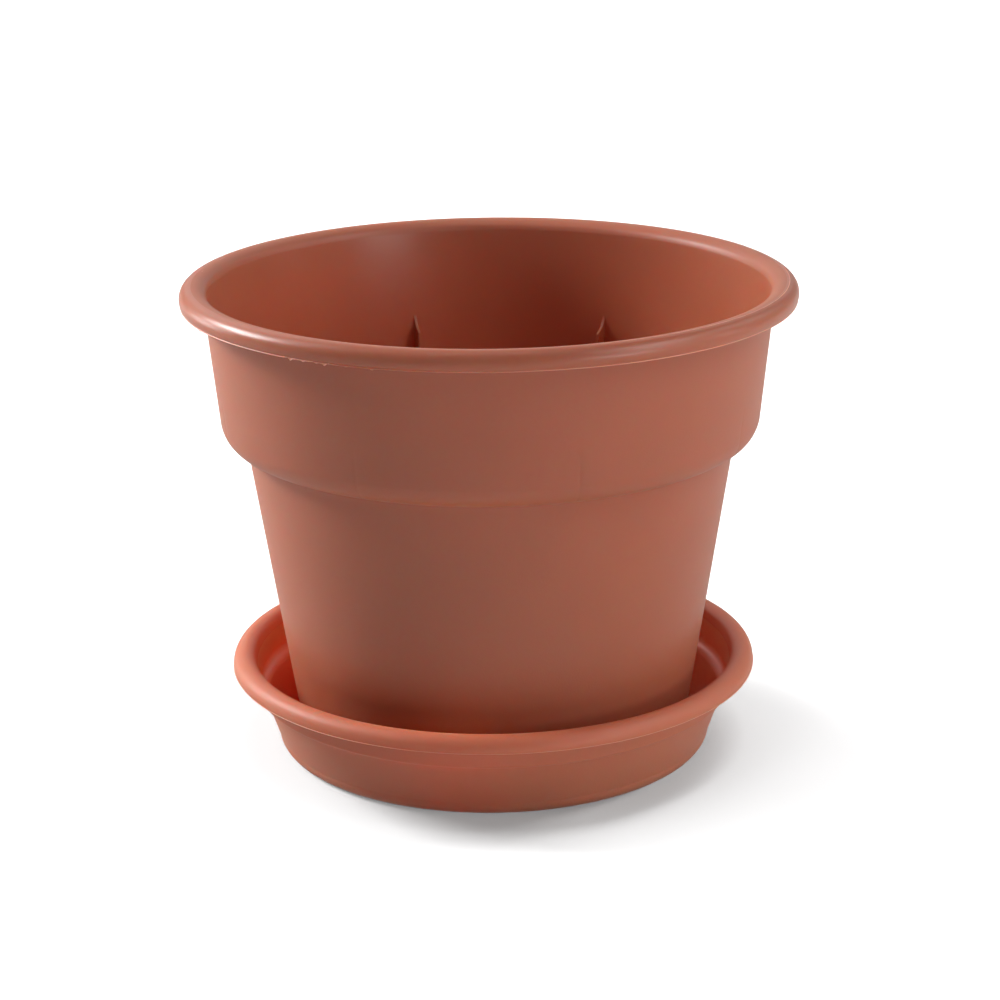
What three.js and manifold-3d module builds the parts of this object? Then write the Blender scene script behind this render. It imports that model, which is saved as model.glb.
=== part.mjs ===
// A moulded plastic flower pot that stands loose in its drip saucer, in millimetres with +Z up.
// The origin is the centre of the saucer's underside, and Z is the axis that both pieces share.
// Outlines are drawn with x as the radius and y as the height, and turned about Z.

import * as THREE from 'three';
import { mergeVertices } from 'three/addons/utils/BufferGeometryUtils.js';
import Module from 'manifold-3d';

const wasm = await Module();
wasm.setup();

const FACETS = 48; // round each turned piece
const CURVE_STEPS = 4; // along each rounded stretch of an outline
const HOLE_FACETS = 20;
const PLUG_LENGTH = 6; // of a hole's cutter, which passes right through the floor
const RESTING_GAP = 0.3; // between the pot's foot and the saucer's ribs

// Saucer. Outer points from the ground up, then the points inside.
const SAUCER_WALL = 1.8;
const SAUCER_FOOT_INNER = 77.2; // radii of the ring that stands on the ground
const SAUCER_FOOT_OUTER = 85.3;
const SAUCER_BASE_LIFT = 1.2; // the middle of the base clears the ground by this
const SAUCER_WALL_BASE = { r: 90.9, z: 5.7 };
const SAUCER_STEP = { r: 97.3, z: 24.2 };
const SAUCER_BAND_BASE = { r: 100.1, z: 26.1 };
const SAUCER_BAND_TOP = { r: 101.1, z: 34.5 };
const SAUCER_LEDGE_EDGE = { r: 94.6, z: 23.1 };
const SAUCER_LEDGE_BACK = { r: 98.5, z: 25.5 };
const SAUCER_LIP_CENTRE = { r: 104.2, z: 35.5 };
const SAUCER_LIP_ROUND = 5;
const SAUCER_LIP_EDGE_Z = 34.5;
const SAUCER_RIB_COUNT = 8;
const SAUCER_RIB_WIDTH = 2.4;
const SAUCER_RIB_HEIGHT = 0.7;
const SAUCER_RIB_START = 14;
const SAUCER_RIB_END = 77;

// Pot. Outer points from the foot up; the inner face is a wall's thickness behind them.
const POT_WALL = 1.8;
const POT_FLOOR = 2;
const POT_FOOT_INNER = 68.4;
const POT_FOOT_OUTER = 76.6;
const POT_FLOOR_LIFT = 2.6; // the floor inside the foot ring stands this far above the foot
const POT_CORNER_HEIGHT = 4; // the foot rounds into the body over this height
const BODY_BASE = { r: 81.4, z: 10.5 };
const BODY_TOP = { r: 100.1, z: 131.5 };
const SHOULDER_EDGE = { r: 100.75, z: 131.5 };
const SHOULDER_BEND = { r: 108.7, z: 133 };
const COLLAR_BASE = { r: 110.2, z: 140.6 };
const COLLAR_TOP = { r: 115.3, z: 189.9 };
const LIP_CENTRE = { r: 120, z: 192.4 };
const LIP_ROUND = 5; // so the rim measures 250 mm across
const LIP_EDGE_Z = 189.9;
const LIP_FLARE = 3.1; // how far the curve from the collar into the lip is pulled outwards
const DRAIN_HOLES = 8;
const DRAIN_HOLE_RADIUS = 5.5;
const DRAIN_RING_RADIUS = 55;

// Stacking ribs, the fins inside the collar that a second pot comes to rest on.
const RIB_COUNT = 8;
const FIRST_RIB_ANGLE = Math.PI / 8;
const RIB_THICKNESS = 1.2;
const RIB_FACE_RADIUS = 103.5;
const RIB_SHOULDER_Z = 150.3;
const RIB_TIP_Z = 157.3;

const SAUCER_FLOOR_Z = SAUCER_BASE_LIFT + SAUCER_WALL;
const SAUCER_RIB_TOP = SAUCER_FLOOR_Z + SAUCER_RIB_HEIGHT;
const POT_FOOT_Z = SAUCER_RIB_TOP + RESTING_GAP;
const POT_FLOOR_UNDERSIDE = POT_FOOT_Z + POT_FLOOR_LIFT;
const POT_FLOOR_Z = POT_FLOOR_UNDERSIDE + POT_FLOOR;

/** Radius at height z on the straight line through two points of an outline. */
function radiusOn(low, high, z) {
	return low.r + ((high.r - low.r) * (z - low.z)) / (high.z - low.z);
}

/** A manifold-3d solid with the shape of a closed three.js geometry. */
function solidFrom(geometry) {
	geometry.deleteAttribute('normal');
	geometry.deleteAttribute('uv');
	const merged = mergeVertices(geometry);
	const corners = merged.index.array;
	const triangles = [];
	for (let i = 0; i < corners.length; i += 3) {
		const [a, b, c] = corners.slice(i, i + 3);
		// A turned outline that meets the axis leaves triangles with no area there.
		if (a !== b && b !== c && c !== a) triangles.push(a, b, c);
	}
	const mesh = new wasm.Mesh({
		numProp: 3,
		vertProperties: new Float32Array(merged.attributes.position.array),
		triVerts: new Uint32Array(triangles),
	});
	return new wasm.Manifold(mesh);
}

/** A solid turned about Z from an outline that starts and ends on the axis. */
function turned(outline) {
	const geometry = new THREE.LatheGeometry(outline.getPoints(CURVE_STEPS), FACETS);
	return solidFrom(geometry.rotateX(Math.PI / 2));
}

/** A named mesh with the shape of a manifold-3d solid. */
function meshOf(name, solid, material) {
	const { vertProperties, triVerts } = solid.getMesh();
	const geometry = new THREE.BufferGeometry();
	geometry.setAttribute('position', new THREE.BufferAttribute(vertProperties, 3));
	geometry.setIndex(new THREE.BufferAttribute(triVerts, 1));
	geometry.computeVertexNormals();
	const mesh = new THREE.Mesh(geometry, material);
	mesh.name = name;
	return mesh;
}

/** The saucer's shell: foot ring, sloping wall, stepped band and rolled lip. */
function saucerShell() {
	const lip = SAUCER_LIP_CENTRE;
	const innerRound = SAUCER_LIP_ROUND - SAUCER_WALL;
	const lipRoof = lip.z + innerRound;
	const lipTop = lip.z + SAUCER_LIP_ROUND;
	const bandInner = SAUCER_BAND_TOP.r - SAUCER_WALL;
	const wallBaseInner = SAUCER_WALL_BASE.r - SAUCER_WALL;
	const outline = new THREE.Path();
	// Outside, from the middle of the base up to the band under the lip.
	outline.moveTo(0, SAUCER_BASE_LIFT);
	outline.lineTo(SAUCER_FOOT_INNER - SAUCER_BASE_LIFT, SAUCER_BASE_LIFT);
	outline.lineTo(SAUCER_FOOT_INNER, 0);
	outline.lineTo(SAUCER_FOOT_OUTER, 0);
	outline.quadraticCurveTo(SAUCER_WALL_BASE.r, 0, SAUCER_WALL_BASE.r, SAUCER_WALL_BASE.z);
	outline.lineTo(SAUCER_STEP.r, SAUCER_STEP.z);
	outline.quadraticCurveTo(
		SAUCER_BAND_BASE.r, SAUCER_STEP.z, SAUCER_BAND_BASE.r, SAUCER_BAND_BASE.z,
	);
	outline.lineTo(SAUCER_BAND_TOP.r, SAUCER_BAND_TOP.z);
	// The hollow under the lip, the lip's free edge and the round over its top.
	outline.quadraticCurveTo(SAUCER_BAND_TOP.r, lipRoof, lip.r, lipRoof);
	outline.absarc(lip.r, lip.z, innerRound, Math.PI / 2, 0, true);
	outline.lineTo(lip.r + innerRound, SAUCER_LIP_EDGE_Z);
	outline.lineTo(lip.r + SAUCER_LIP_ROUND, SAUCER_LIP_EDGE_Z);
	outline.absarc(lip.r, lip.z, SAUCER_LIP_ROUND, 0, Math.PI / 2, false);
	// Inside, down past the ledge to the channel behind the foot ring and the floor.
	outline.quadraticCurveTo(SAUCER_BAND_TOP.r, lipTop, bandInner, lip.z);
	outline.lineTo(SAUCER_LEDGE_BACK.r, SAUCER_LEDGE_BACK.z);
	outline.lineTo(SAUCER_LEDGE_EDGE.r, SAUCER_LEDGE_EDGE.z);
	outline.lineTo(wallBaseInner, SAUCER_WALL_BASE.z);
	outline.quadraticCurveTo(wallBaseInner, SAUCER_WALL, SAUCER_FOOT_OUTER, SAUCER_WALL);
	outline.lineTo(SAUCER_FOOT_INNER + SAUCER_WALL, SAUCER_WALL);
	outline.lineTo(SAUCER_FOOT_INNER, SAUCER_FLOOR_Z);
	outline.lineTo(0, SAUCER_FLOOR_Z);
	return turned(outline);
}

/** One low rib on the saucer's floor, which lets water run out from under the pot. */
function saucerRib(index) {
	const length = SAUCER_RIB_END - SAUCER_RIB_START;
	const height = SAUCER_RIB_HEIGHT + SAUCER_WALL / 2;
	const rib = new THREE.BoxGeometry(length, SAUCER_RIB_WIDTH, height);
	rib.translate(SAUCER_RIB_START + length / 2, 0, SAUCER_RIB_TOP - height / 2);
	rib.rotateZ((index * 2 * Math.PI) / SAUCER_RIB_COUNT);
	return solidFrom(rib);
}

/** The pot's shell: foot ring, tapered body, stepped collar and rolled lip. */
function potShell() {
	const innerRound = LIP_ROUND - POT_WALL;
	const lipEdgeAngle = Math.asin((LIP_EDGE_Z - LIP_CENTRE.z) / LIP_ROUND);
	const lipRoof = LIP_CENTRE.z + innerRound;
	const lipTop = LIP_CENTRE.z + LIP_ROUND;
	const collarInner = COLLAR_TOP.r - POT_WALL;
	const ledgeZ = BODY_TOP.z + POT_WALL;
	const ledgeRadius = radiusOn(BODY_BASE, BODY_TOP, ledgeZ) - POT_WALL;
	const cornerTop = POT_FOOT_Z + POT_CORNER_HEIGHT;
	const cornerRadius = radiusOn(BODY_BASE, BODY_TOP, cornerTop);
	const bodyFootRadius = radiusOn(BODY_BASE, BODY_TOP, POT_FOOT_Z);
	const channelZ = POT_FOOT_Z + POT_WALL;
	const outline = new THREE.Path();
	// Outside, from the middle of the floor up to the collar.
	outline.moveTo(0, POT_FLOOR_UNDERSIDE);
	outline.lineTo(POT_FOOT_INNER - POT_WALL, POT_FLOOR_UNDERSIDE);
	outline.lineTo(POT_FOOT_INNER, POT_FOOT_Z);
	outline.lineTo(POT_FOOT_OUTER, POT_FOOT_Z);
	outline.quadraticCurveTo(bodyFootRadius, POT_FOOT_Z, cornerRadius, cornerTop);
	outline.lineTo(BODY_TOP.r, BODY_TOP.z);
	outline.lineTo(SHOULDER_EDGE.r, SHOULDER_EDGE.z);
	outline.quadraticCurveTo(SHOULDER_BEND.r, SHOULDER_BEND.z, COLLAR_BASE.r, COLLAR_BASE.z);
	outline.lineTo(COLLAR_TOP.r, COLLAR_TOP.z);
	// The hollow under the lip, the lip's free edge and the round over its top.
	outline.quadraticCurveTo(COLLAR_TOP.r + POT_WALL, lipRoof, LIP_CENTRE.r, lipRoof);
	outline.absarc(LIP_CENTRE.r, LIP_CENTRE.z, innerRound, Math.PI / 2, 0, true);
	outline.lineTo(LIP_CENTRE.r + innerRound, LIP_EDGE_Z);
	outline.absarc(LIP_CENTRE.r, LIP_CENTRE.z, LIP_ROUND, lipEdgeAngle, Math.PI / 2, false);
	// Inside, down the collar and the body to the channel behind the foot ring and the floor.
	outline.quadraticCurveTo(collarInner + LIP_FLARE, lipTop, collarInner, COLLAR_TOP.z);
	outline.lineTo(COLLAR_BASE.r - POT_WALL, COLLAR_BASE.z);
	outline.quadraticCurveTo(
		SHOULDER_BEND.r - POT_WALL, SHOULDER_BEND.z + POT_WALL, ledgeRadius, ledgeZ,
	);
	outline.lineTo(cornerRadius - POT_WALL, cornerTop);
	outline.quadraticCurveTo(bodyFootRadius - POT_WALL, channelZ, POT_FOOT_OUTER, channelZ);
	outline.lineTo(POT_FOOT_INNER + POT_WALL, channelZ);
	outline.lineTo(POT_FOOT_INNER, POT_FLOOR_Z);
	outline.lineTo(0, POT_FLOOR_Z);
	return turned(outline);
}

/** One stacking rib, rooted halfway into the collar and its shoulder. */
function stackingRib(index) {
	const root = POT_WALL / 2;
	const tipRadius = radiusOn(COLLAR_BASE, COLLAR_TOP, RIB_TIP_Z) - root;
	const shape = new THREE.Shape();
	shape.moveTo(RIB_FACE_RADIUS, SHOULDER_BEND.z + root);
	shape.lineTo(SHOULDER_BEND.r - POT_WALL, SHOULDER_BEND.z + POT_WALL);
	shape.lineTo(COLLAR_BASE.r - root, COLLAR_BASE.z);
	shape.lineTo(tipRadius, RIB_TIP_Z);
	shape.quadraticCurveTo(
		tipRadius - POT_WALL, RIB_SHOULDER_Z + POT_WALL, RIB_FACE_RADIUS, RIB_SHOULDER_Z,
	);
	const rib = new THREE.ExtrudeGeometry(shape, {
		depth: RIB_THICKNESS,
		bevelEnabled: false,
		curveSegments: CURVE_STEPS,
	});
	rib.translate(0, 0, -RIB_THICKNESS / 2);
	rib.rotateX(Math.PI / 2);
	rib.rotateZ(FIRST_RIB_ANGLE + (index * 2 * Math.PI) / RIB_COUNT);
	return solidFrom(rib);
}

/** The plug of material taken out of the pot's floor at one drain hole. */
function drainHole(index) {
	const plug = new THREE.CylinderGeometry(
		DRAIN_HOLE_RADIUS, DRAIN_HOLE_RADIUS, PLUG_LENGTH, HOLE_FACETS,
	);
	plug.rotateX(Math.PI / 2);
	plug.translate(DRAIN_RING_RADIUS, 0, POT_FLOOR_UNDERSIDE + POT_FLOOR / 2);
	plug.rotateZ((index * 2 * Math.PI) / DRAIN_HOLES);
	return solidFrom(plug);
}

function saucerSolid() {
	let solid = saucerShell();
	for (let i = 0; i < SAUCER_RIB_COUNT; i += 1) solid = solid.add(saucerRib(i));
	return solid;
}

function potSolid() {
	let solid = potShell();
	for (let i = 0; i < RIB_COUNT; i += 1) solid = solid.add(stackingRib(i));
	for (let i = 0; i < DRAIN_HOLES; i += 1) solid = solid.subtract(drainHole(i));
	return solid;
}

const saucerPlastic = new THREE.MeshStandardMaterial({ color: 0xb9573c, roughness: 0.5, metalness: 0 });
const potPlastic = new THREE.MeshStandardMaterial({ color: 0xb4553a, roughness: 0.5, metalness: 0 });

const group = new THREE.Group();
group.add(meshOf('saucer', saucerSolid(), saucerPlastic));
group.add(meshOf('pot', potSolid(), potPlastic));

export default group;
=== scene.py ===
"""A terracotta-coloured plastic flower pot in its saucer: fine meshes, plastic, light and camera."""
from math import asin, cos, pi, radians, sin

import bpy
import numpy as np
from mathutils import Matrix, Vector


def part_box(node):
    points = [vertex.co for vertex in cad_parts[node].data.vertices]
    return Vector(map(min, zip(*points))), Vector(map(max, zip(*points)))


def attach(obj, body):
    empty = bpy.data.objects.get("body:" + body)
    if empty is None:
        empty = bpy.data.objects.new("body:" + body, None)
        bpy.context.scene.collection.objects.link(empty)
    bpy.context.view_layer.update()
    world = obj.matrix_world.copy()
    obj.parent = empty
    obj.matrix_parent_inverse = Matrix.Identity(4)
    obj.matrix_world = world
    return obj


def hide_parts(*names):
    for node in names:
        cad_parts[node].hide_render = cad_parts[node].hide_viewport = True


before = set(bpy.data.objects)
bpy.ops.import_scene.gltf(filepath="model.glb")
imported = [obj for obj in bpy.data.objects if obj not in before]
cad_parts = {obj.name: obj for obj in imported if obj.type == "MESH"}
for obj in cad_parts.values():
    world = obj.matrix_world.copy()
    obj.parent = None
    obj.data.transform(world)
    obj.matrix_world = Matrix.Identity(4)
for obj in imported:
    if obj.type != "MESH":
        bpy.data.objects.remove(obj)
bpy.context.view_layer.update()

MM = 0.001

# Driving dimensions in millimetres, radius first and height above the ground second.
CREST_LINE_HEIGHT = 0.1  # the hairline ridge round the top of the rim
RIM_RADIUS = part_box("pot")[1].x / MM
RIM_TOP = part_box("pot")[1].z / MM - CREST_LINE_HEIGHT
POT_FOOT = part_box("pot")[0].z / MM
SAUCER_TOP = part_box("saucer")[1].z / MM

POT_WALL = 1.8
POT_CORNER_HEIGHT = 4  # where the body's straight side meets the bend into its foot
POT_FLOOR = 2.0
POT_FLOOR_LIFT = 2.6
POT_FOOT_RING = (68.4, 76.6)
BODY_BASE = (81.4, 10.5)
BODY_TOP = (100.1, 131.5)
SHOULDER_EDGE = (100.75, 131.5)
SHOULDER_BEND = (108.7, 133.0)
COLLAR_BASE = (110.2, 140.6)
COLLAR_TOP = (115.3, 189.9)
LIP_ROUND = 5.0
POT_LIP = (RIM_RADIUS - LIP_ROUND, RIM_TOP - LIP_ROUND)  # the middle of the lip's round
POT_LIP_EDGE = 2.5  # the lip's lower edge is this far below the middle of its round
LIP_DRAFT = (0.1, 0.05)  # how far the inside of a lip's free edge leans out, and how much it is eased below
LIP_CORNER_DROP = 3.4  # from the top of a lip down to the crisp corner where the inner wall begins
POT_LIP_SWELL = 2.3  # how far outside that corner the lip's inner slope would reach the top if it went on
SAUCER_LIP_SWELL = 1.8

# Both undersides have a nub in a round recess at the middle, where the plastic flowed in.
GATE_NUB_RADIUS = (1.3, 1.7)
GATE_RECESS_RADIUS = (5.4, 6.4)
GATE_RECESS = 0.4
POT_GATE_NUB = 0.4
SAUCER_GATE_NUB = 0.3

DRAIN_HOLES = 8
DRAIN_HOLE_RADIUS = 5.5
DRAIN_RING_RADIUS = 55.0
DRAIN_SEGMENTS = 48
# The drain cutter's flared end, from its tip inwards: how far outside the hole, and how far inside the floor.
DRAIN_FLARE = ((0.8, -1), (0.3, -0.02), (0.08, 0.2), (0, 0.4))

FIN_COUNT = 8
FIN_FIRST = pi / 8
FIN_FACE = 103.5
FIN_SHOULDER = 150.3
FIN_TIP = 157.3
FIN_CURVE = (0.9, 1.8)  # the fin's sloping top bulges to this far inside its tip and above its shoulder
FIN_EDGE_ROUND = 0.6
FIN_LEAST = 0.05  # a column is part of a fin where it stands out by more than this share
FIN_CLEAR = 1.1  # a fin's own columns take the place of the even ones this near to its middle plane
WALL_ABOVE_FINS = FIN_TIP + 3
# Distance from a fin's middle plane, and how far out of the wall the fin stands there, from 0 to 1.
FIN_FLANK = ((0.3, 1.0), (0.5, 0.985), (0.58, 0.93), (0.64, 0.1), (0.72, 0.03), (0.95, 0.0))
SINK_DEPTH = 0.12  # the shallow groove that a fin leaves on the outside of the collar
SINK_HALF_WIDTH = 0.8
SINK_TOP = 156.0
SINK_FADE_TOP = 8
SINK_FADE_BASE = 2.5

SAUCER_WALL = 1.8
SAUCER_LIFT = 1.2
SAUCER_FOOT_RING = (77.2, 85.3)
SAUCER_WALL_BASE = (90.9, 5.7)
SAUCER_STEP = (97.3, 24.2)
SAUCER_BAND_BASE = (100.1, 26.1)
SAUCER_BAND_TOP = (101.1, 34.5)
SAUCER_LEDGE_EDGE = (94.6, 23.1)
SAUCER_LEDGE_BACK = (98.5, 25.5)
SAUCER_LEDGE_DRAFT = 0.4
SAUCER_LIP = (104.2, SAUCER_TOP - LIP_ROUND)
SAUCER_LIP_EDGE = 1.0
SAUCER_RIBS = 8
SAUCER_RIB_WIDTH = 2.4
SAUCER_RIB_HEIGHT = 0.7
SAUCER_RIB_START = 14.0
SAUCER_RIB_END = 77.0
SAUCER_RIB_ROUND = 0.3
SAUCER_RIB_ROUND_STEPS = 3

FLASH_REACH = 0.42  # the thin fin of plastic that the mould's joint leaves under each lip
FLASH_ROOT = 0.35
FLASH_BELOW = 0.06
FLASH_ABOVE = 0.04
FLASH_SEAM = 0.02
FLASH_TOP = 0.88  # the flash ends at this share of the angle from the lip's middle down to its edge
FLASH_ROUND = 0.06
FLASH_CLEAR = 0.05  # points further out than this past a lip's edge, and this near to its height, are flash
FLASH_BAND = 0.3
FLASH_LEAST = 0.3
FLASH_MEAN = 0.62
FLASH_SLOW = 0.1
FLASH_FINE = 0.12
FLASH_WAVES = ((1.0, 3, 0.7), (0.6, 7, 2.1), (0.4, 17, 0))  # strength, waves round the rim, phase
FLASH_TOOTH = ((61, 1.3), (43, 0.4))  # waves round the rim and phase of the two that multiply
# Torn shreds of the pot's flash: angle in degrees, and how far each hangs down, or stands up if below 0.
BURRS = (
    (211.4, 0.5), (237.8, -0.4), (238.8, 0.8), (241.5, 0.45), (243.4, -0.45), (244.3, 0.3),
    (245.9, 0.85), (246.8, -0.4), (250.1, 0.25), (254.9, 0.5),
)
BURR_WIDTH = 0.3  # in degrees
BURR_COLUMNS = 5  # columns for each usual one where the burrs are
BURR_LEAST = 0.01  # the burrs are where they move the flash by more than this
BURR_STAND_OUT = 2  # how much of its full reach the flash gains for each millimetre that a burr hangs
CREST_LINE_RADIUS = 119.9
CREST_LINE_SHIFT = 1.3  # the mould's joint is this far off the axis, towards CREST_LINE_SIDE
CREST_LINE_SIDE = radians(15)
CREST_LINE_WIDTH = 0.18
EDGE_ROUND = 0.35
POT_CORNER_ROUND = 1.2
SAUCER_CORNER_ROUND = 2.0
LEDGE_ROUND = 1.8
COLUMNS = 288
# How far apart an outline's points are at most: on straight stretches, and on bends.
POT_UNDER_SPACING = (4, 0.8)
POT_BODY_SPACING = (3, 0.6)
POT_WELL_SPACING = (4, 0.8)
FIN_WALL_SPACING = (0.6, 0.5)
FIN_EDGE_SPACING = (0.4, 0.3)
SAUCER_OUTSIDE_SPACING = (3, 0.5)
SAUCER_INSIDE_SPACING = (3, 0.25)
LIP_HOLLOW_SPACING = (1, 0.6)
LIP_EDGE_SPACING = (0.5, 0.5)
FLASH_SPACING = (0.5, 0.05)
# The same for a lip's inner slope and the wall below it: on the slope, on the wall, and on both's bends.
POT_SLOPE_SPACING = (1, 2, 0.12)
SAUCER_SLOPE_SPACING = (1, 3, 0.25)
BEAD_START = radians(58)  # from here to its crest a lip has closer points, for the crest line
BEAD_STEPS = 24
BEAD_CREST_STEPS = 34
CORNER_SHARE = 0.4  # a rounded corner takes at most this share of the straight stretches beside it
NEARLY_STRAIGHT = -0.995
SHARP_ANGLE = radians(48)

POT_COLOUR = (0.505, 0.156, 0.084)
SAUCER_COLOUR = (0.665, 0.208, 0.111)
# The saucer's inside is painted paler and warmer than its outside: painted light, standing in for the glow of
# light passing through its wall and bouncing about inside it.
SAUCER_INSIDE_PAINTED_GLOW = (0.72, 0.3, 0.16)
# How far red, green and blue light spread inside the plastic, in millimetres.
POT_GLOW = (3.0, 0.6, 0.24)
SAUCER_GLOW = (4.5, 1.4, 0.7)
THIN_GLOW = (0.4, 0.08, 0.03)
# The flash and the crest hairline are painted pale over their real shape: a painted highlight, the glint of
# light along these thin edges.
FLASH_GLINT_COLOUR = (0.8, 0.38, 0.26)
POT_LIP_ROUGHNESS = 0.33
SLOPE_ROUGHNESS = 0.46
SAUCER_LIP_ROUGHNESS = 0.5
INSIDE_ROUGHNESS = 0.29
PLASTIC_IOR = 1.49
PLASTIC_SPECULAR = 0.44
COLOUR_DRIFT = 0.06
ROUGHNESS_DRIFT = 0.03
# Roughness and height of the grain in millimetres.
GRAINED_FINISH = (0.48, 0.05)
FLASH_FINISH = (0.45, 0.02)
THIN_FINISH = (0.42, 0.015)
LIP_GRAIN = 0.012
INSIDE_GRAIN = 0.015
# Noise scale and detail.
DRIFT_NOISE = (24, 4)
SHEEN_NOISE = (60, 3)
GRAIN_NOISE = (1500, 2)
FLOOR_SPAN = 8
FLOOR_SEEN = 0.2
FLOOR_BOUNCE = 0.082
FLOOR_GLEAM = 0.1  # how bright the floor and the room look where the plastic mirrors them
ROOM_GLEAM = 0.27

ROUND = 0.7071  # fullness of a bend that is a quarter of a circle or ellipse
PARABOLA = 1.0


# ---------------------------------------------------------------- outlines

def radius_on(low, high, height):
    """Radius at a height on the straight line through two points of an outline."""
    return low[0] + (high[0] - low[0]) * (height - low[1]) / (high[1] - low[1])


def bend_points(start, control, end, fullness, spacing):
    """Points after start along a conic that leaves towards control and arrives at end."""
    start, control, end = (np.array(p, float) for p in (start, control, end))
    length = np.linalg.norm(control - start) + np.linalg.norm(end - control)
    steps = max(3, int(np.ceil(length / spacing)))
    t = np.linspace(0, 1, steps + 1)[1:, None]
    pull = 2 * t * (1 - t) * fullness
    return ((1 - t) ** 2 * start + pull * control + t**2 * end) / ((1 - t) ** 2 + pull + t**2)


def soften(points, size):
    """Rounds the sharp corners of an outline. A point with a third number is a bend's control point."""
    soft = [points[0]]
    for before, here, after in zip(points, points[1:], points[2:]):
        if len(here) == 3:
            soft.append(here)
            continue
        middle = np.array(here, float)
        to_before = np.array(before[:2], float) - middle
        to_after = np.array(after[:2], float) - middle
        room = CORNER_SHARE * min(np.linalg.norm(to_before), np.linalg.norm(to_after))
        reach = min(size, room)
        turn = np.dot(to_before, to_after) / (np.linalg.norm(to_before) * np.linalg.norm(to_after))
        if turn < NEARLY_STRAIGHT:
            soft.append(here)
            continue
        soft.append(tuple(middle + reach * to_before / np.linalg.norm(to_before)))
        soft.append((*here, ROUND))
        soft.append(tuple(middle + reach * to_after / np.linalg.norm(to_after)))
    soft.append(points[-1])
    return soft


def trace(points, spacing, bend_spacing):
    """An outline as an array of points no further apart than the spacings, in millimetres."""
    line = [np.array(points[0], float)[None]]
    index = 1
    while index < len(points):
        start = line[-1][-1]
        if len(points[index]) == 3:
            control, fullness = points[index][:2], points[index][2]
            line.append(bend_points(start, control, points[index + 1], fullness, bend_spacing))
            index += 2
            continue
        end = np.array(points[index], float)
        steps = max(1, int(np.ceil(np.linalg.norm(end - start) / spacing)))
        line.append(start + (end - start) * np.linspace(0, 1, steps + 1)[1:, None])
        index += 1
    return np.concatenate(line)


def joined(stretches):
    """Joins (material, points) stretches into one outline, and says each span's material."""
    points = [stretches[0][1][:1]]
    materials = []
    for material, stretch in stretches:
        points.append(stretch[1:])
        materials += [material] * (len(stretch) - 1)
    return np.concatenate(points), np.array(materials)


# ---------------------------------------------------------------- meshes

def revolve(name, angles, grid, slots, materials):
    """A closed mesh from one outline per angle. grid[column, point] is (radius, height) in millimetres,
    and each outline starts and ends on the axis. slots[column, span] is each face's material."""
    radius, height = grid[:, 1:-1, 0], grid[:, 1:-1, 1]
    columns, points = radius.shape
    side = np.stack([radius * np.cos(angles)[:, None], radius * np.sin(angles)[:, None], height], -1)
    poles = np.array([[0, 0, grid[0, 0, 1]], [0, 0, grid[0, -1, 1]]])
    vertices = np.concatenate([side.reshape(-1, 3), poles]) * MM
    here = np.arange(columns)[:, None] * points + np.arange(points - 1)[None]
    beside = np.roll(here, -1, axis=0)
    quads = np.stack([here, beside, beside + 1, here + 1], -1).reshape(-1, 4).tolist()
    slots = np.broadcast_to(slots, (columns, points + 1))
    first, last = columns * points, columns * points + 1
    rim = np.arange(columns) * points
    next_rim = np.roll(rim, -1)
    bottom = [(first, int(b), int(a)) for a, b in zip(rim, next_rim)]
    top = [(last, int(a) + points - 1, int(b) + points - 1) for a, b in zip(rim, next_rim)]
    mesh = bpy.data.meshes.new(name)
    mesh.from_pydata(vertices.tolist(), [], quads + bottom + top)
    face_slots = np.concatenate([slots[:, 1:-1].ravel(), slots[:, 0], slots[:, -1]])
    mesh.polygons.foreach_set("material_index", face_slots.tolist())
    for material in materials:
        mesh.materials.append(material)
    mesh.shade_smooth()
    mesh.update()
    piece = bpy.data.objects.new(name, mesh)
    bpy.context.scene.collection.objects.link(piece)
    return piece


def combine(piece, tools, operation):
    """Cuts tools out of a piece, or joins them to it, and removes them."""
    for tool in tools:
        modifier = piece.modifiers.new("combine", "BOOLEAN")
        modifier.object = tool
        modifier.operation = operation
        modifier.solver = "EXACT"
        modifier.material_mode = "INDEX"
    shapes = bpy.context.evaluated_depsgraph_get()
    result = bpy.data.meshes.new_from_object(piece.evaluated_get(shapes))
    piece.modifiers.clear()
    old = piece.data
    piece.data = result
    bpy.data.meshes.remove(old)
    for tool in tools:
        bpy.data.objects.remove(tool)
    piece.data.shade_smooth()
    piece.data.set_sharp_from_angle(angle=SHARP_ANGLE)


def turned_tool(outline, position, segments, slot):
    """A small turned solid on an upright axis through position, used to cut a hole."""
    angles = np.linspace(0, 2 * pi, segments, endpoint=False)
    grid = np.repeat(np.array(outline, float)[None], segments, 0)
    tool = revolve("tool", angles, grid, slot, [])
    tool.data.transform(Matrix.Translation(Vector(position) * MM))
    return tool


def shreds(angles):
    """How far the torn flash hangs down at each angle, or stands up where below 0."""
    return sum(hang * np.exp(-(((np.degrees(angles) - side) / BURR_WIDTH) ** 2)) for side, hang in BURRS)


def ragged(angles):
    """How far the mould flash stands out at each angle, up to 1: slow changes and a fine tooth."""
    slow = sum(strength * np.sin(waves * angles + phase) for strength, waves, phase in FLASH_WAVES)
    fine = np.prod([np.sin(waves * angles + phase) for waves, phase in FLASH_TOOTH], axis=0)
    return np.clip(FLASH_MEAN + FLASH_SLOW * slow + FLASH_FINE * fine, FLASH_LEAST, 1.0)


# ---------------------------------------------------------------- pot

OUTSIDE, LIP, SLOPE, INSIDE, FLASH_GLINT, THIN = range(6)


def gate_mark(underside, nub):
    """The nub and its recess in the middle of an underside, from the axis outwards."""
    recess = underside + GATE_RECESS
    return [
        (0, underside - nub), (GATE_NUB_RADIUS[0], underside - nub), (GATE_NUB_RADIUS[1], recess),
        (GATE_RECESS_RADIUS[0], recess), (GATE_RECESS_RADIUS[1], underside),
    ]


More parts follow.
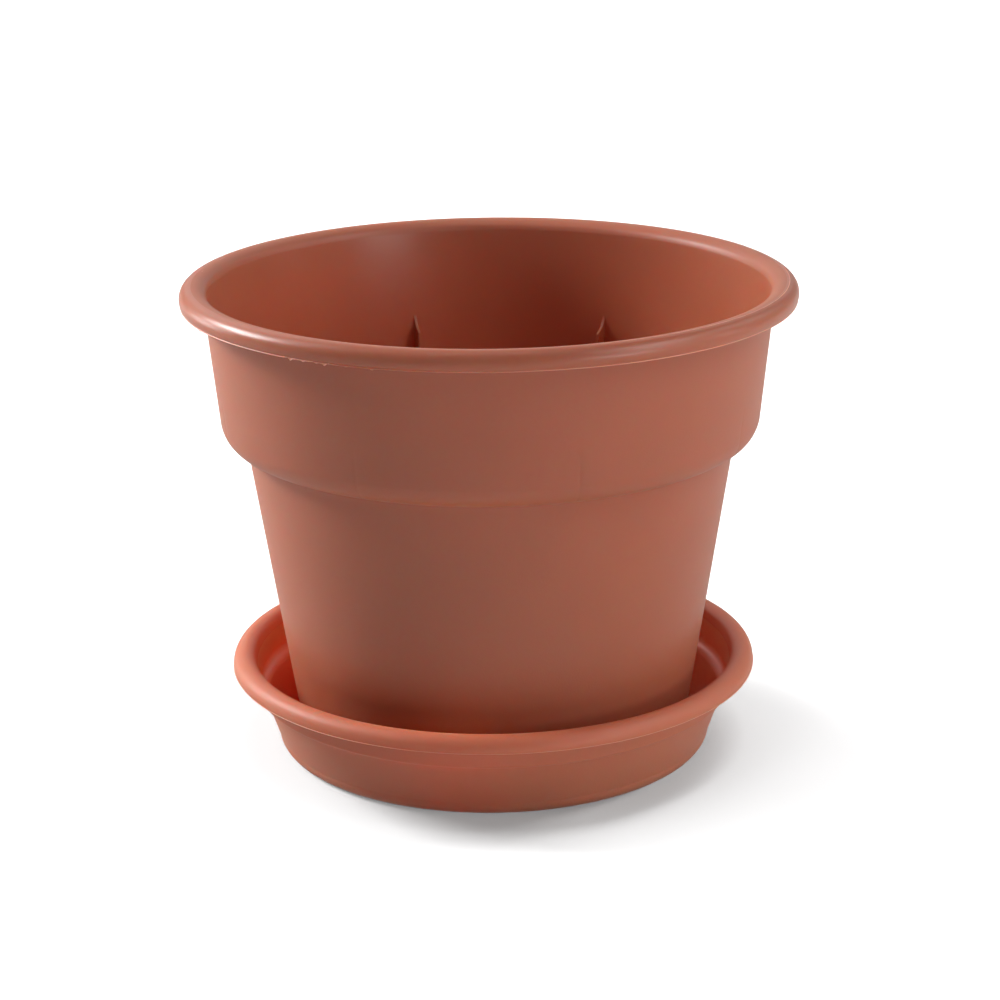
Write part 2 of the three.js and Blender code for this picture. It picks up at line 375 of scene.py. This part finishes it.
def lip_hollow(wall_top, bend_radius, centre, inner_round):
    """The hollow under a rolled lip, from the top of the outside wall out to the lip's free edge."""
    roof = centre[1] + inner_round
    return [
        wall_top, (bend_radius, roof, PARABOLA), (centre[0], roof),
        (centre[0] + inner_round, roof, ROUND), (centre[0] + inner_round, centre[1]),
    ]


def lip_edge(centre, inner_round, edge_drop):
    """The underside of the lip's free edge, its flash, and the angle at which the lip's round begins."""
    r, z = centre
    edge_angle = asin(edge_drop / LIP_ROUND)
    edge = (r + LIP_ROUND * cos(edge_angle), z - edge_drop)
    above = z - LIP_ROUND * sin(edge_angle * FLASH_TOP)
    underside = [
        (r + inner_round, z),
        (r + inner_round - LIP_DRAFT[0], z - edge_drop + LIP_DRAFT[1]),
        (edge[0] - FLASH_ROOT, edge[1] - FLASH_SEAM),
    ]
    flash = [
        underside[-1],
        (edge[0] + FLASH_REACH, edge[1] - FLASH_BELOW),
        (edge[0] + FLASH_REACH, edge[1] + FLASH_ABOVE),
        (edge[0] + FLASH_SEAM, above + FLASH_SEAM),
    ]
    return underside, flash, -edge_angle * FLASH_TOP


def lip_slope(crest, wall_top, wall_below, swell, corner_round):
    """The convex inner slope of a lip, from its crest down to a corner and on down the wall."""
    corner_height = crest[1] - LIP_CORNER_DROP
    corner = (radius_on(wall_below, wall_top, corner_height), corner_height)
    return soften([crest, (corner[0] + swell, crest[1], ROUND), corner, wall_below], corner_round)


def bead(centre, start):
    """The round of a lip from the start angle up to its crest, closer-spaced where the crest line runs."""
    below = np.linspace(start, BEAD_START, BEAD_STEPS, endpoint=False)
    angles = np.concatenate([below, np.linspace(BEAD_START, pi / 2, BEAD_CREST_STEPS)])
    return np.stack([centre[0] + LIP_ROUND * np.cos(angles), centre[1] + LIP_ROUND * np.sin(angles)], -1)


def lip_stretches(hollow, centre, inner_round, edge_drop, slope, slope_spacing):
    """A whole lip in stretches: its hollow, its edge with the flash, its round, its inner slope and wall."""
    underside, flash, bead_start = lip_edge(centre, inner_round, edge_drop)
    on_slope, on_wall, on_bends = slope_spacing
    return [
        (LIP, trace(hollow, *LIP_HOLLOW_SPACING)),
        (LIP, trace(underside, *LIP_EDGE_SPACING)),
        # The flash gets the pale finish: a painted highlight along its edge.
        (FLASH_GLINT, trace(soften(flash, FLASH_ROUND), *FLASH_SPACING)),
        (LIP, bead(centre, bead_start)),
        (SLOPE, trace(slope[:5], on_slope, on_bends)),
        (INSIDE, trace(slope[4:], on_wall, on_bends)),
    ]


def pot_outline():
    """The pot's outline in stretches, from its underside round the lip to its floor."""
    inner_round = LIP_ROUND - POT_WALL
    floor_under = POT_FOOT + POT_FLOOR_LIFT
    corner_top = POT_FOOT + POT_CORNER_HEIGHT
    corner_radius = radius_on(BODY_BASE, BODY_TOP, corner_top)
    foot_radius = radius_on(BODY_BASE, BODY_TOP, POT_FOOT)
    under = gate_mark(floor_under, POT_GATE_NUB) + [
        (POT_FOOT_RING[0] - POT_WALL, floor_under),
        (POT_FOOT_RING[0], POT_FOOT),
        (POT_FOOT_RING[1], POT_FOOT),
        (foot_radius, POT_FOOT, ROUND),
        (corner_radius, corner_top),
    ]
    body = [
        (corner_radius, corner_top), BODY_TOP, SHOULDER_EDGE,
        (*SHOULDER_BEND, PARABOLA), COLLAR_BASE, COLLAR_TOP,
    ]
    hollow = lip_hollow(COLLAR_TOP, COLLAR_TOP[0] + POT_WALL, POT_LIP, inner_round)
    wall_top = (COLLAR_TOP[0] - POT_WALL, COLLAR_TOP[1])
    collar_in = (COLLAR_BASE[0] - POT_WALL, COLLAR_BASE[1])
    above_fins = (radius_on(collar_in, wall_top, WALL_ABOVE_FINS), WALL_ABOVE_FINS)
    slope = lip_slope((POT_LIP[0], RIM_TOP), wall_top, above_fins, POT_LIP_SWELL, POT_CORNER_ROUND)
    ledge_z = BODY_TOP[1] + POT_WALL
    ledge = (radius_on(BODY_BASE, BODY_TOP, ledge_z) - POT_WALL, ledge_z)
    fins = [
        above_fins, collar_in,
        (SHOULDER_BEND[0] - POT_WALL, SHOULDER_BEND[1] + POT_WALL, PARABOLA), ledge,
    ]
    channel = POT_FOOT + POT_WALL
    floor_top = floor_under + POT_FLOOR
    well = [
        ledge, (corner_radius - POT_WALL, corner_top), (foot_radius - POT_WALL, channel, PARABOLA),
        (POT_FOOT_RING[1], channel), (POT_FOOT_RING[0] + POT_WALL, channel),
        (POT_FOOT_RING[0], floor_top), (0, floor_top),
    ]
    outside = [
        (OUTSIDE, trace(soften(under, EDGE_ROUND), *POT_UNDER_SPACING)),
        (OUTSIDE, trace(soften(body, EDGE_ROUND), *POT_BODY_SPACING)),
    ]
    inside = [
        (INSIDE, trace(fins, *FIN_WALL_SPACING)),
        (INSIDE, trace(soften(well, EDGE_ROUND), *POT_WELL_SPACING)),
    ]
    lip = lip_stretches(hollow, POT_LIP, inner_round, POT_LIP_EDGE, slope, POT_SLOPE_SPACING)
    return outside + lip + inside


def past_fin(angles):
    """How far past the nearest fin's middle plane each angle is, in radians."""
    pitch = 2 * pi / FIN_COUNT
    return (angles - FIN_FIRST + pitch / 2) % pitch - pitch / 2


def pot_columns():
    """The angles of the pot's columns, and how far each one stands out as a fin."""
    fine = np.arange(COLUMNS * BURR_COLUMNS) * 2 * pi / (COLUMNS * BURR_COLUMNS)
    usual = np.arange(len(fine)) % BURR_COLUMNS == 0
    even = fine[usual | (np.abs(shreds(fine)) > BURR_LEAST)]
    angles = list(even[np.abs(past_fin(even)) > FIN_CLEAR / FIN_FACE])
    reach = [0.0] * len(angles)
    for fin in range(FIN_COUNT):
        middle = FIN_FIRST + fin * 2 * pi / FIN_COUNT
        for side in (-1, 1):
            for distance, share in FIN_FLANK:
                angles.append(middle + side * distance / FIN_FACE)
                reach.append(share)
    angles = np.array(angles) % (2 * pi)
    order = np.argsort(angles)
    return angles[order], np.array(reach)[order]


def raise_fins(grid, slots, reach):
    """Draws the collar's inner wall in towards the axis as fins, at the columns where reach is above 0."""
    outline = grid[0]
    inner = len(outline) // 2
    collar = np.arange(inner, len(outline))
    start = collar[np.argmax(outline[collar, 1] < FIN_TIP)]
    while outline[start, 0] < FIN_FACE:
        start += 1
    end = start
    while outline[end, 0] > FIN_FACE:
        end += 1
    wall = outline[start:end + 1]
    tip = wall[0]
    along_wall = np.concatenate([[0], np.cumsum(np.linalg.norm(np.diff(wall, axis=0), axis=1))])
    edge = trace(soften([
        tuple(tip), (tip[0] - FIN_CURVE[0], FIN_SHOULDER + FIN_CURVE[1], PARABOLA),
        (FIN_FACE, FIN_SHOULDER), tuple(wall[-1]),
    ], FIN_EDGE_ROUND), *FIN_EDGE_SPACING)
    along_edge = np.concatenate([[0], np.cumsum(np.linalg.norm(np.diff(edge, axis=0), axis=1))])
    share = along_wall / along_wall[-1] * along_edge[-1]
    fin = np.stack([np.interp(share, along_edge, edge[:, k]) for k in (0, 1)], -1)
    grid[:, start:end + 1] += reach[:, None, None] * (fin - wall)[None]
    standing = np.maximum(reach, np.roll(reach, -1)) > FIN_LEAST
    slots[standing, start:end] = THIN


def sink_marks(grid, angles):
    """Presses the shallow grooves behind the fins into the outside of the collar."""
    across = np.exp(-((past_fin(angles) * COLLAR_BASE[0] / SINK_HALF_WIDTH) ** 2))
    height = grid[0, :, 1]
    up = np.clip((SINK_TOP - height) / SINK_FADE_TOP, 0, 1)
    up *= np.clip((height - SHOULDER_EDGE[1]) / SINK_FADE_BASE, 0, 1)
    outside = np.arange(len(height)) < len(height) // 2
    on_collar = outside & (grid[0, :, 0] > SHOULDER_EDGE[0])
    grid[:, :, 0] -= SINK_DEPTH * across[:, None] * (up * on_collar)[None]


def crest_line(grid, slots, angles):
    """Raises the hairline ridge along the top of the rim and paints it pale, a painted highlight where the
    light catches it. Ridge and painted highlight fade out on its far side.
    """
    side = np.cos(angles - CREST_LINE_SIDE)[:, None]
    strength = 0.5 + 0.5 * side
    offset = grid[:, :, 0] - (CREST_LINE_RADIUS + CREST_LINE_SHIFT * side)
    on_top = grid[0, :, 1] > RIM_TOP - POT_WALL / 2
    middle = (offset[:, 1:] + offset[:, :-1]) / 2
    # The pale painted highlight along the crest line is wider towards CREST_LINE_SIDE.
    slots[(np.abs(middle) < CREST_LINE_WIDTH * strength) & on_top[None, 1:]] = FLASH_GLINT
    ridge = CREST_LINE_HEIGHT * strength * np.exp(-((offset / CREST_LINE_WIDTH) ** 2))
    grid[:, :, 1] += ridge * on_top[None]


def trim_flash(grid, centre, edge_drop, stand_out, hang):
    """Makes the flash under a lip ragged: how far it stands out, and how far it hangs, at each column."""
    edge_radius = centre[0] + LIP_ROUND * cos(asin(edge_drop / LIP_ROUND))
    edge_height = centre[1] - edge_drop
    radius, height = grid[0, :, 0], grid[0, :, 1]
    flash = (radius > edge_radius + FLASH_CLEAR) & (np.abs(height - edge_height) < FLASH_BAND)
    extra = grid[:, flash, 0] - edge_radius
    grid[:, flash, 0] = edge_radius + extra * stand_out[:, None]
    grid[:, flash, 1] -= hang[:, None]


def drain_cutter(number):
    """The cutter of one drain hole, flared at both faces so that the hole's edges are rounded."""
    angle = number * 2 * pi / DRAIN_HOLES
    bottom = POT_FOOT + POT_FLOOR_LIFT
    top = bottom + POT_FLOOR
    under = [(DRAIN_HOLE_RADIUS + out, bottom + deep) for out, deep in DRAIN_FLARE]
    over = [(DRAIN_HOLE_RADIUS + out, top - deep) for out, deep in reversed(DRAIN_FLARE)]
    outline = [(0, under[0][1])] + under + over + [(0, over[-1][1])]
    place = (DRAIN_RING_RADIUS * cos(angle), DRAIN_RING_RADIUS * sin(angle), 0)
    return turned_tool(outline, place, DRAIN_SEGMENTS, INSIDE)


def make_pot(materials):
    points, spans = joined(pot_outline())
    angles, reach = pot_columns()
    grid = np.repeat(points[None], len(angles), 0)
    slots = np.repeat(spans[None], len(angles), 0)
    raise_fins(grid, slots, reach)
    sink_marks(grid, angles)
    hang = shreds(angles)
    stand_out = np.clip(ragged(angles) + BURR_STAND_OUT * np.abs(hang), FLASH_LEAST, 1.0)
    trim_flash(grid, POT_LIP, POT_LIP_EDGE, stand_out, hang)
    crest_line(grid, slots, angles)
    pot = revolve("flower_pot", angles, grid, slots, materials)
    combine(pot, [drain_cutter(number) for number in range(DRAIN_HOLES)], "DIFFERENCE")
    return pot


# ---------------------------------------------------------------- saucer

def saucer_outline():
    """The saucer's outline in stretches, from its underside round the lip to its floor."""
    inner_round = LIP_ROUND - SAUCER_WALL
    under = gate_mark(SAUCER_LIFT, SAUCER_GATE_NUB) + [
        (SAUCER_FOOT_RING[0] - SAUCER_LIFT, SAUCER_LIFT),
        (SAUCER_FOOT_RING[0], 0), (SAUCER_FOOT_RING[1], 0),
        (SAUCER_WALL_BASE[0], 0, ROUND), SAUCER_WALL_BASE, SAUCER_STEP,
        (SAUCER_BAND_BASE[0], SAUCER_STEP[1], PARABOLA), SAUCER_BAND_BASE, SAUCER_BAND_TOP,
    ]
    hollow = lip_hollow(SAUCER_BAND_TOP, SAUCER_BAND_TOP[0], SAUCER_LIP, inner_round)
    wall_top = (SAUCER_BAND_TOP[0] - SAUCER_WALL, SAUCER_LIP[1])
    ledge_back = (SAUCER_LEDGE_BACK[0], SAUCER_LEDGE_BACK[1] + LEDGE_ROUND)
    ledge_middle = [(back + edge) / 2 for back, edge in zip(SAUCER_LEDGE_BACK, SAUCER_LEDGE_EDGE)]
    ledge_foot = (SAUCER_LEDGE_EDGE[0] - SAUCER_LEDGE_DRAFT, SAUCER_LEDGE_EDGE[1] - LEDGE_ROUND)
    crest = (SAUCER_LIP[0], SAUCER_TOP)
    slope = lip_slope(crest, wall_top, ledge_back, SAUCER_LIP_SWELL, SAUCER_CORNER_ROUND)
    wall_in = SAUCER_WALL_BASE[0] - SAUCER_WALL
    floor_top = SAUCER_LIFT + SAUCER_WALL
    inside = [
        ledge_back, (*SAUCER_LEDGE_BACK, PARABOLA), tuple(ledge_middle),
        (*SAUCER_LEDGE_EDGE, PARABOLA), ledge_foot,
        (wall_in, SAUCER_WALL_BASE[1]), (wall_in, SAUCER_WALL, PARABOLA),
        (SAUCER_FOOT_RING[1], SAUCER_WALL), (SAUCER_FOOT_RING[0] + SAUCER_WALL, SAUCER_WALL),
        (SAUCER_FOOT_RING[0], floor_top), (0, floor_top),
    ]
    outside = [(OUTSIDE, trace(soften(under, EDGE_ROUND), *SAUCER_OUTSIDE_SPACING))]
    lip = lip_stretches(hollow, SAUCER_LIP, inner_round, SAUCER_LIP_EDGE, slope, SAUCER_SLOPE_SPACING)
    return outside + lip + [(INSIDE, trace(soften(inside, EDGE_ROUND), *SAUCER_INSIDE_SPACING))]


def saucer_rib(number):
    """One low rib on the saucer's floor, with rounded edges."""
    length = SAUCER_RIB_END - SAUCER_RIB_START
    floor_top = SAUCER_LIFT + SAUCER_WALL
    bpy.ops.mesh.primitive_cube_add(size=1)
    rib = bpy.context.object
    size = (length * MM, SAUCER_RIB_WIDTH * MM, 2 * SAUCER_RIB_HEIGHT * MM)
    rib.data.transform(Matrix.Diagonal((*size, 1)))
    bevel = rib.modifiers.new("round", "BEVEL")
    bevel.width = SAUCER_RIB_ROUND * MM
    bevel.segments = SAUCER_RIB_ROUND_STEPS
    shapes = bpy.context.evaluated_depsgraph_get()
    rounded = bpy.data.meshes.new_from_object(rib.evaluated_get(shapes))
    rib.modifiers.clear()
    rib.data = rounded
    rib.data.transform(Matrix.Translation(Vector((SAUCER_RIB_START + length / 2, 0, floor_top)) * MM))
    rib.data.transform(Matrix.Rotation(number * 2 * pi / SAUCER_RIBS, 4, "Z"))
    for polygon in rib.data.polygons:
        polygon.material_index = INSIDE
    return rib


def make_saucer(materials):
    points, spans = joined(saucer_outline())
    angles = np.arange(COLUMNS) * 2 * pi / COLUMNS
    grid = np.repeat(points[None], len(angles), 0)
    trim_flash(grid, SAUCER_LIP, SAUCER_LIP_EDGE, ragged(angles), np.zeros(COLUMNS))
    saucer = revolve("drip_saucer", angles, grid, spans, materials)
    combine(saucer, [saucer_rib(number) for number in range(SAUCER_RIBS)], "UNION")
    return saucer


# ---------------------------------------------------------------- materials

def plastic(name, colour, glow, roughness, grain):
    """Moulded plastic, a little translucent: glow is how far each colour of light spreads inside it.
    The pigment's colour drifts a little, and the surface has a grain of the given height."""
    material = bpy.data.materials.new(name)
    material.use_nodes = True
    nodes, links = material.node_tree.nodes, material.node_tree.links
    shader = nodes["Principled BSDF"]
    shader.inputs["IOR"].default_value = PLASTIC_IOR
    shader.inputs["Specular IOR Level"].default_value = PLASTIC_SPECULAR
    shader.inputs["Subsurface Weight"].default_value = 1.0
    shader.inputs["Subsurface Radius"].default_value = glow
    shader.inputs["Subsurface Scale"].default_value = MM
    place = nodes.new("ShaderNodeTexCoord").outputs["Object"]

    def noise(scale, detail):
        texture = nodes.new("ShaderNodeTexNoise")
        texture.inputs["Scale"].default_value = scale
        texture.inputs["Detail"].default_value = detail
        links.new(place, texture.inputs["Vector"])
        return texture.outputs["Fac"]

    mix = nodes.new("ShaderNodeMix")
    mix.data_type = "RGBA"
    mix.inputs["A"].default_value = (*[c * (1 - COLOUR_DRIFT) for c in colour], 1)
    mix.inputs["B"].default_value = (*[c * (1 + COLOUR_DRIFT) for c in colour], 1)
    links.new(noise(*DRIFT_NOISE), mix.inputs["Factor"])
    links.new(mix.outputs["Result"], shader.inputs["Base Color"])
    spread = nodes.new("ShaderNodeMapRange")
    spread.inputs["To Min"].default_value = roughness - ROUGHNESS_DRIFT
    spread.inputs["To Max"].default_value = roughness + ROUGHNESS_DRIFT
    links.new(noise(*SHEEN_NOISE), spread.inputs["Value"])
    links.new(spread.outputs["Result"], shader.inputs["Roughness"])
    bump = nodes.new("ShaderNodeBump")
    bump.inputs["Distance"].default_value = grain * MM
    bump.inputs["Strength"].default_value = 1.0
    links.new(noise(*GRAIN_NOISE), bump.inputs["Height"])
    links.new(bump.outputs["Normal"], shader.inputs["Normal"])
    return material


def finishes(piece, colour, inside_colour, glow, lip_roughness):
    """One piece's finishes, in the order OUTSIDE, LIP, SLOPE, INSIDE, FLASH_GLINT, THIN."""
    return [
        plastic(f"{piece}_grained", colour, glow, *GRAINED_FINISH),
        plastic(f"{piece}_lip", colour, glow, lip_roughness, LIP_GRAIN),
        plastic(f"{piece}_slope", colour, glow, SLOPE_ROUGHNESS, LIP_GRAIN),
        # On the saucer, inside_colour is painted paler: painted glow through and inside its wall.
        plastic(f"{piece}_smooth", inside_colour, glow, INSIDE_ROUGHNESS, INSIDE_GRAIN),
        # Pale flash colour: painted highlight along the flash and the crest hairline.
        plastic(f"{piece}_flash", FLASH_GLINT_COLOUR, THIN_GLOW, *FLASH_FINISH),
        plastic(f"{piece}_thin", colour, THIN_GLOW, *THIN_FINISH),
    ]


def floor_material():
    """White paint that is paler to look at than the light that it throws back at the pot."""
    material = bpy.data.materials.new("floor_paint")
    material.use_nodes = True
    nodes, links = material.node_tree.nodes, material.node_tree.links
    nodes.remove(nodes["Principled BSDF"])
    mix = nodes.new("ShaderNodeMixShader")
    links.new(nodes.new("ShaderNodeLightPath").outputs["Is Camera Ray"], mix.inputs["Fac"])
    for socket, shade in ((1, FLOOR_BOUNCE), (2, FLOOR_SEEN)):
        paint = nodes.new("ShaderNodeBsdfDiffuse")
        paint.inputs["Color"].default_value = (shade, shade, shade, 1)
        links.new(paint.outputs["BSDF"], mix.inputs[socket])
    gleam = nodes.new("ShaderNodeEmission")
    mirrored = nodes.new("ShaderNodeMath")
    mirrored.operation = "MULTIPLY"
    mirrored.inputs[1].default_value = FLOOR_GLEAM
    links.new(nodes.new("ShaderNodeLightPath").outputs["Is Glossy Ray"], mirrored.inputs[0])
    links.new(mirrored.outputs["Value"], gleam.inputs["Strength"])
    both = nodes.new("ShaderNodeAddShader")
    links.new(mix.outputs["Shader"], both.inputs[0])
    links.new(gleam.outputs["Emission"], both.inputs[1])
    links.new(both.outputs["Shader"], nodes["Material Output"].inputs["Surface"])
    material.cycles.emission_sampling = "NONE"
    return material


# ---------------------------------------------------------------- stage

CAMERA_SIDE = radians(5)
CAMERA_DISTANCE = 1.0546
CAMERA_HEIGHT = 0.434
CAMERA_PITCH = 0.30456
CAMERA_YAW = 0.00335
CAMERA_ROLL = -0.01104
LENS = 95.87
SENSOR_WIDTH = 36
LIGHT_DISTANCE = 1.6
LIGHT_TARGET = 0.1
# Name, azimuth and elevation in degrees, width and height in metres, power in watts.
SOFT_BOXES = (
    ("window", 160, 31, 0.6, 0.4, 23.5),
    ("window_high", 165, 52, 0.6, 0.6, 2.3),
    ("left_behind", 150, 8, 0.45, 0.45, 4.5),
    ("left_back", 120, 35, 0.6, 0.6, 1.4),
    ("behind", 90, 30, 1.4, 1.4, 2.5),
    ("right_back", 30, 35, 0.6, 0.6, 1.4),
    ("right_strip", 3, 15, 0.15, 0.5, 1.5),
    ("right_high", 345, 48, 0.6, 0.6, 4.9),
    ("right_front", 330, 30, 0.6, 0.6, 3.2),
    ("right_low", 316, 10, 0.6, 0.35, 4.4),
    ("overhead", 0, 90, 0.8, 0.8, 1.8),
)
# Name, azimuth and elevation, how wide the light is seen in degrees, brightness on a white floor.
FLOOR_LIGHTS = (
    ("floor_top", 0, 90, 20, 0.24),
    ("floor_front", 270, 15, 20, 0.86),
    ("floor_window", 155, 30, 20, 0.91),
    ("floor_window_edge", 140, 30, 20, 0.23),
    ("floor_left_high", 190, 60, 20, 0.13),
    ("floor_left_front", 220, 45, 20, 0.07),
    ("floor_right_low", 30, 15, 20, 0.62),
    ("floor_right", 30, 60, 20, 0.20),
    ("floor_right_high", 30, 75, 20, 0.17),
)


def make_camera():
    data = bpy.data.cameras.new("camera")
    data.sensor_width = SENSOR_WIDTH
    data.lens = LENS
    camera = bpy.data.objects.new("camera", data)
    bpy.context.scene.collection.objects.link(camera)
    camera.matrix_world = (
        Matrix.Rotation(CAMERA_SIDE, 4, "Z")
        @ Matrix.Translation((0, -CAMERA_DISTANCE, CAMERA_HEIGHT))
        @ Matrix.Rotation(-CAMERA_YAW, 4, "Z")
        @ Matrix.Rotation(pi / 2 - CAMERA_PITCH, 4, "X")
        @ Matrix.Rotation(CAMERA_ROLL, 4, "Z")
    )
    bpy.context.scene.camera = camera


def make_floor():
    mesh = bpy.data.meshes.new("floor")
    corners = [(FLOOR_SPAN * x, FLOOR_SPAN * y, 0) for x, y in ((-1, -1), (1, -1), (1, 1), (-1, 1))]
    mesh.from_pydata(corners, [], [(0, 1, 2, 3)])
    mesh.materials.append(floor_material())
    floor = bpy.data.objects.new("floor", mesh)
    bpy.context.scene.collection.objects.link(floor)
    return floor


def aim(light, azimuth, elevation, distance):
    """Points a light at the pot. Azimuth is measured from the camera's right, anticlockwise."""
    around = radians(azimuth) + CAMERA_SIDE
    up = radians(elevation)
    offset = Vector((cos(up) * cos(around), cos(up) * sin(around), sin(up))) * distance
    light.location = Vector((0, 0, LIGHT_TARGET)) + offset
    light.rotation_euler = (-offset).to_track_quat("-Z", "Y").to_euler()
    bpy.context.scene.collection.objects.link(light)


def soft_box(name, azimuth, elevation, width, height, power, receivers):
    data = bpy.data.lights.new(name, "AREA")
    data.shape = "RECTANGLE"
    data.size = width
    data.size_y = height
    data.energy = power
    light = bpy.data.objects.new(name, data)
    aim(light, azimuth, elevation, LIGHT_DISTANCE)
    light.visible_camera = False
    light.light_linking.receiver_collection = receivers


def floor_light(name, azimuth, elevation, spread, brightness, receivers):
    """A distant light for the floor alone, which keeps it white with a short neutral shadow."""
    data = bpy.data.lights.new(name, "SUN")
    data.angle = radians(spread)
    data.energy = brightness * pi / FLOOR_SEEN
    light = bpy.data.objects.new(name, data)
    aim(light, azimuth, elevation, LIGHT_DISTANCE)
    light.light_linking.receiver_collection = receivers


def lit_group(name, things):
    """A collection of what a light shines on."""
    group = bpy.data.collections.new(name)
    for thing in things:
        group.objects.link(thing)
    return group


def make_room():
    """A white room that is seen, and mirrored faintly in the plastic, but lights nothing."""
    world = bpy.data.worlds.new("white_room")
    world.use_nodes = True
    nodes, links = world.node_tree.nodes, world.node_tree.links
    nodes["Background"].inputs["Color"].default_value = (1, 1, 1, 1)
    path = nodes.new("ShaderNodeLightPath")
    strength = nodes.new("ShaderNodeMath")
    strength.operation = "MULTIPLY_ADD"
    links.new(path.outputs["Is Glossy Ray"], strength.inputs[0])
    strength.inputs[1].default_value = ROOM_GLEAM
    links.new(path.outputs["Is Camera Ray"], strength.inputs[2])
    links.new(strength.outputs["Value"], nodes["Background"].inputs["Strength"])
    world.cycles.sampling_method = "NONE"
    bpy.context.scene.world = world


def make_lights(pieces, floor):
    lit = lit_group("lit_pieces", pieces)
    for box in SOFT_BOXES:
        soft_box(*box, lit)
    paint = lit_group("lit_floor", [floor])
    for light in FLOOR_LIGHTS:
        floor_light(*light, paint)


bpy.context.scene.view_settings.view_transform = "Standard"
pot = make_pot(finishes("pot", POT_COLOUR, POT_COLOUR, POT_GLOW, POT_LIP_ROUGHNESS))
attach(pot, "pot")
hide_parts("pot")
saucer_looks = finishes("saucer", SAUCER_COLOUR, SAUCER_INSIDE_PAINTED_GLOW, SAUCER_GLOW, SAUCER_LIP_ROUGHNESS)
saucer = make_saucer(saucer_looks)
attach(saucer, "saucer")
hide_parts("saucer")
make_camera()
make_room()
make_lights([pot, saucer], make_floor())
